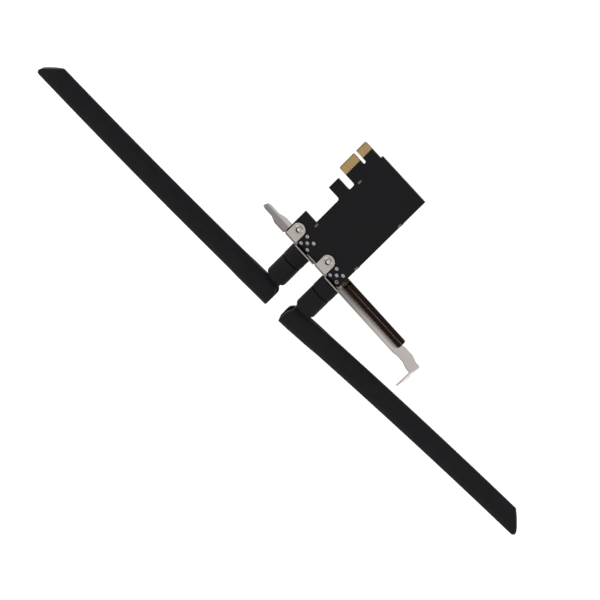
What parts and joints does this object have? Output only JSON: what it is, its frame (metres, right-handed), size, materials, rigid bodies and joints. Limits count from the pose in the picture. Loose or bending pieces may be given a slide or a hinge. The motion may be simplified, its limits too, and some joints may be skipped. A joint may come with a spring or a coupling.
{
  "type": "wireless network card",
  "caption": "Flat black expansion card with an edge connector, a folded metal slot bracket and long flat hinged antennas screwed to coaxial jacks at its end.",
  "frame": {"origin": "tip of the edge tongue, on the middle line of the key notch, half way through the board", "axes": "+X from the bracket into the board, +Y out of the edge tongue towards the socket, +Z out of the solder side"},
  "size_m": [0.1069, 0.3574, 0.0706],
  "materials": {
    "board_mask": "black solder mask on a glass-fibre laminate, satin",
    "gold_plate": "gold plate, smooth",
    "plated_steel": "bright nickel plate on steel sheet",
    "screw_steel": "nickel-plated screw, satin",
    "solder": "solidified tin solder, smooth",
    "sink_metal": "copper-coloured anodised aluminium, satin",
    "chip_plastic": "moulded epoxy, matt",
    "pad_rubber": "soft gap pad, matt",
    "ferrite": "pressed ferrite powder, matt",
    "tantalum_plastic": "moulded epoxy, matt",
    "crystal_can": "plated lid, satin",
    "chip_ceramic": "fired ceramic, matt",
    "chip_resistor": "glazed resistor film, satin",
    "jack_brass": "gold-plated brass, smooth",
    "white_insulator": "turned fluoropolymer, smooth",
    "black_plastic": "moulded plastic, fine matt grain",
    "black_pin": "blackened steel pin, satin",
    "radiator_board": "printed laminate, satin"
  },
  "bodies": {
    "card": {"circuit_board": "board_mask", "edge_contacts": "gold_plate", "bracket": "plated_steel", "ear_screws": "screw_steel", "solder_joints": "solder", "heat_sink": "sink_metal", "radio_chip": "chip_plastic", "thermal_pad": "pad_rubber", "amplifier_chips": "chip_plastic", "power_inductor": "ferrite", "regulator_chip": "chip_plastic", "bulk_capacitors": "tantalum_plastic", "crystal": "crystal_can", "memory_chip": "chip_plastic", "coupling_capacitors": "chip_ceramic", "filter_resistors": "chip_resistor", "jack_body_lower": "jack_brass", "jack_body_upper": "jack_brass", "jack_insulator_lower": "white_insulator", "jack_insulator_upper": "white_insulator", "jack_pin_lower": "gold_plate", "jack_pin_upper": "gold_plate"},
    "nut_lower": {"coupling_nut_lower": "black_plastic"},
    "swivel_lower": {"plug_shell_lower": "jack_brass", "plug_insulator_lower": "white_insulator", "plug_socket_lower": "gold_plate", "swivel_base_lower": "black_plastic", "hinge_pin_lower": "black_pin"},
    "antenna_lower": {"blade_lower": "black_plastic", "radiator_lower": "radiator_board"},
    "nut_upper": {"coupling_nut_upper": "black_plastic"},
    "swivel_upper": {"plug_shell_upper": "jack_brass", "plug_insulator_upper": "white_insulator", "plug_socket_upper": "gold_plate", "swivel_base_upper": "black_plastic", "hinge_pin_upper": "black_pin"},
    "antenna_upper": {"blade_upper": "black_plastic", "radiator_upper": "radiator_board"}
  },
  "joints": [
    {"name": "nut_spin_lower", "type": "hinge", "parent": "card", "child": "nut_lower", "pos_m": [-0.09071, -0.01671, -0.00651], "axis": [1, 0, 0], "continuous": true},
    {"name": "swivel_turn_lower", "type": "hinge", "parent": "card", "child": "swivel_lower", "pos_m": [-0.09071, -0.01671, -0.00651], "axis": [1, 0, 0], "range_deg": [-140, 130]},
    {"name": "blade_tilt_lower", "type": "hinge", "parent": "swivel_lower", "child": "antenna_lower", "pos_m": [-0.09071, -0.01671, -0.00651], "axis": [0, -0.1271, 0.9919], "range_deg": [0, 90]},
    {"name": "nut_spin_upper", "type": "hinge", "parent": "card", "child": "nut_upper", "pos_m": [-0.09071, -0.04009, -0.00651], "axis": [1, 0, 0], "continuous": true},
    {"name": "swivel_turn_upper", "type": "hinge", "parent": "card", "child": "swivel_upper", "pos_m": [-0.09071, -0.04009, -0.00651], "axis": [1, 0, 0], "range_deg": [-140, 125]},
    {"name": "blade_tilt_upper", "type": "hinge", "parent": "swivel_upper", "child": "antenna_upper", "pos_m": [-0.09071, -0.04009, -0.00651], "axis": [0, 0.2554, -0.9668], "range_deg": [0, 90]}
  ]
}
